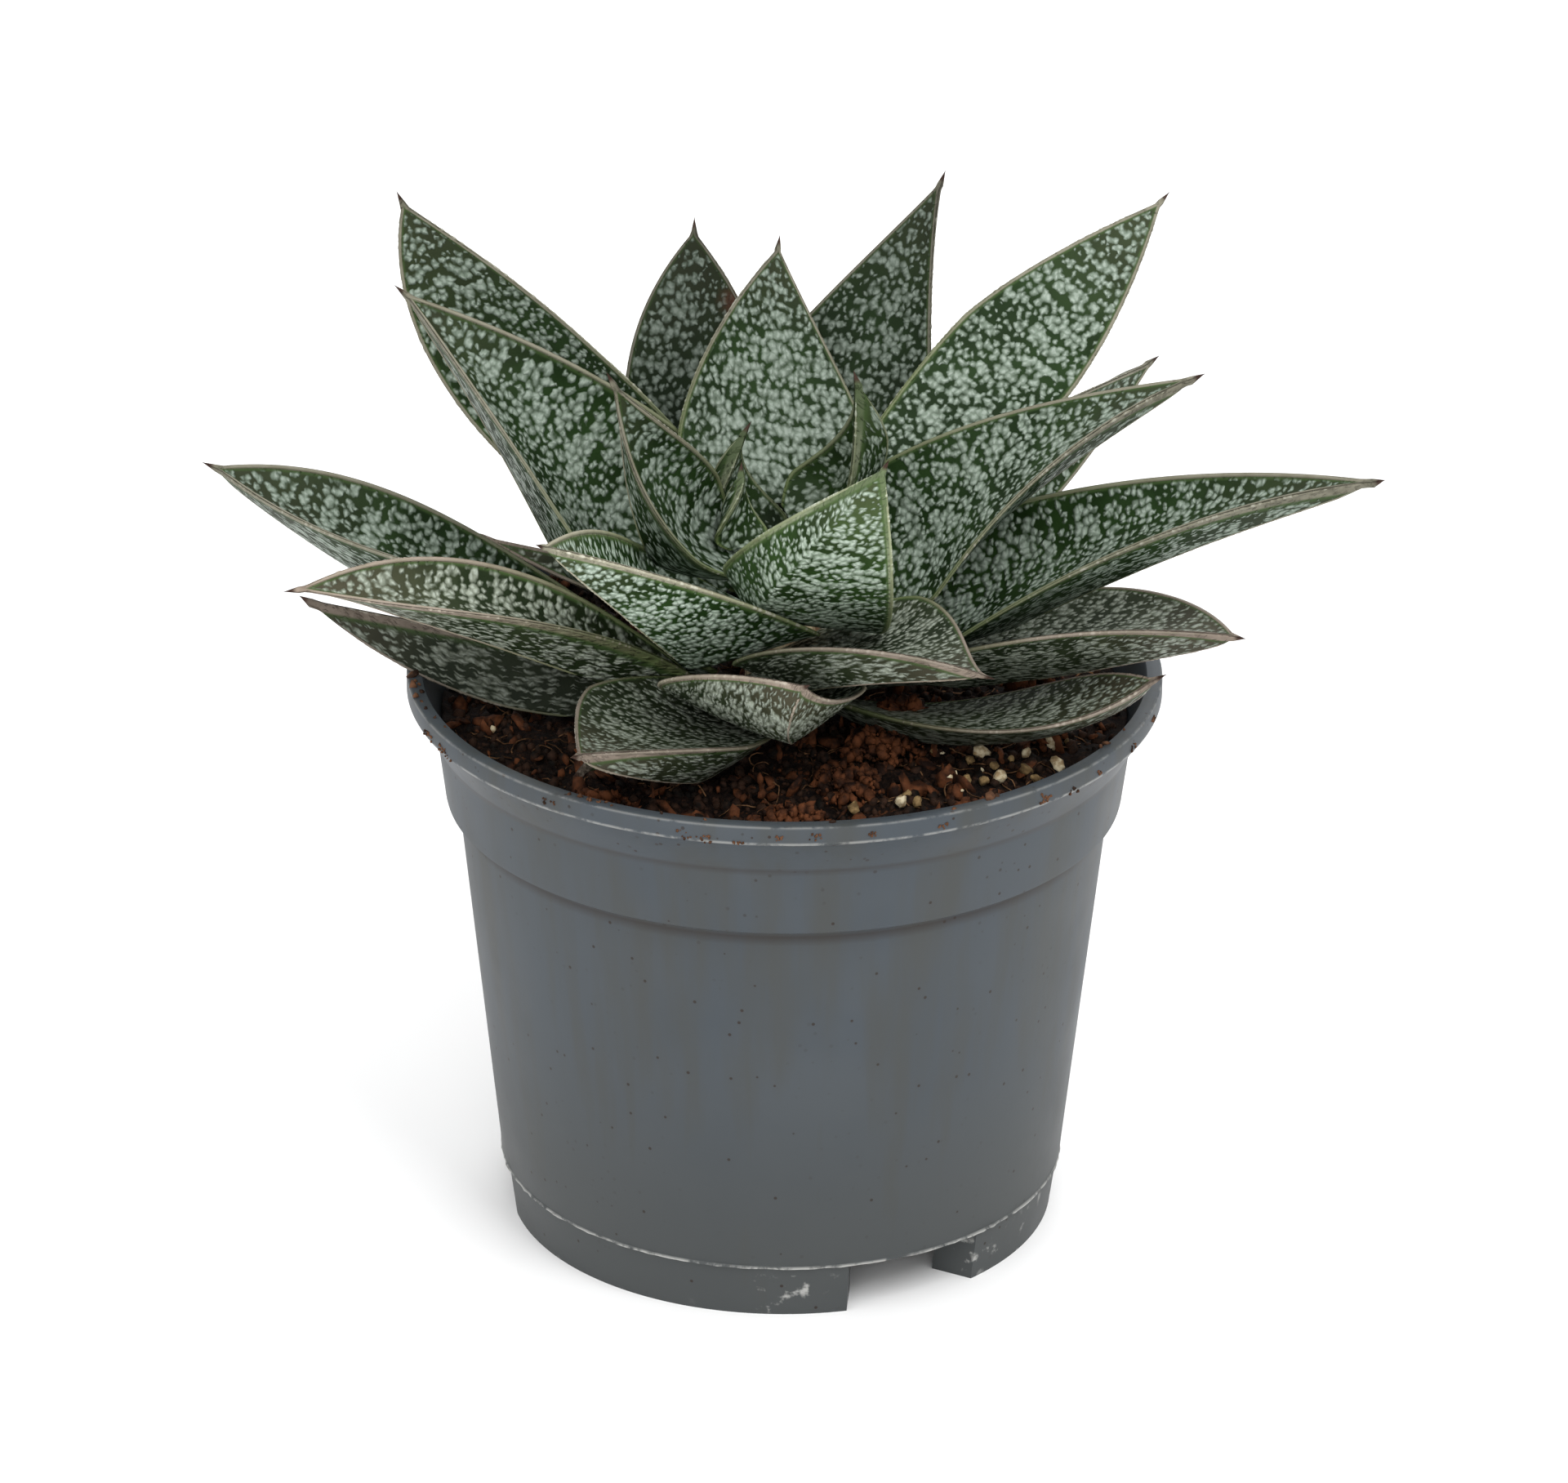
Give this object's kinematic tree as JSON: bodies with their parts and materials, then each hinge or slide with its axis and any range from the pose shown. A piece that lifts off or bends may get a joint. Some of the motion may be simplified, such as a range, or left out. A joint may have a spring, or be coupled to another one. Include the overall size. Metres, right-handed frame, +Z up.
{
  "type": "potted gasteria plant",
  "caption": "Rosette of thick keeled succulent leaves with pale tubercles, on a short stem in a round tapered plastic nursery pot filled with potting mix",
  "frame": {"origin": "centre of the pot's foot, on the surface that the pot stands on", "axes": "+Z up along the pot's axis, -Y towards the side seen in the picture, +X to that view's right"},
  "size_m": [0.1833, 0.1205, 0.1602],
  "materials": {
    "pot": "satin",
    "soil": "matte",
    "stem": "matte",
    "leaf_young": "satin",
    "leaf_mature": "satin",
    "leaf_old": "satin"
  },
  "bodies": {
    "root": {"pot": "pot", "soil": "soil", "stem": "stem", "leaf_heart_small": "leaf_young", "leaf_heart_large": "leaf_young", "leaf_inner_right": "leaf_young", "leaf_inner_left": "leaf_mature", "leaf_inner_front_right": "leaf_young", "leaf_inner_front_left": "leaf_mature", "leaf_back_centre": "leaf_mature", "leaf_back_left_inner": "leaf_mature", "leaf_back_left_tall": "leaf_mature", "leaf_back_right_tall": "leaf_mature", "leaf_left_upper": "leaf_mature", "leaf_right_tall": "leaf_mature", "leaf_right_upper": "leaf_mature", "leaf_right_behind": "leaf_mature", "leaf_rear_centre": "leaf_mature", "leaf_rear_left": "leaf_mature", "leaf_rear_right": "leaf_mature", "leaf_left_long": "leaf_mature", "leaf_right_long": "leaf_mature", "leaf_left_low": "leaf_old", "leaf_front_right": "leaf_old", "leaf_right_low": "leaf_old", "leaf_rear_right_low": "leaf_old", "leaf_rear_left_low": "leaf_old", "leaf_front_centre": "leaf_old", "leaf_left_bottom": "leaf_old", "leaf_front_left": "leaf_old", "leaf_right_bottom": "leaf_old", "leaf_front_left_old": "leaf_old"}
  },
  "joints": []
}
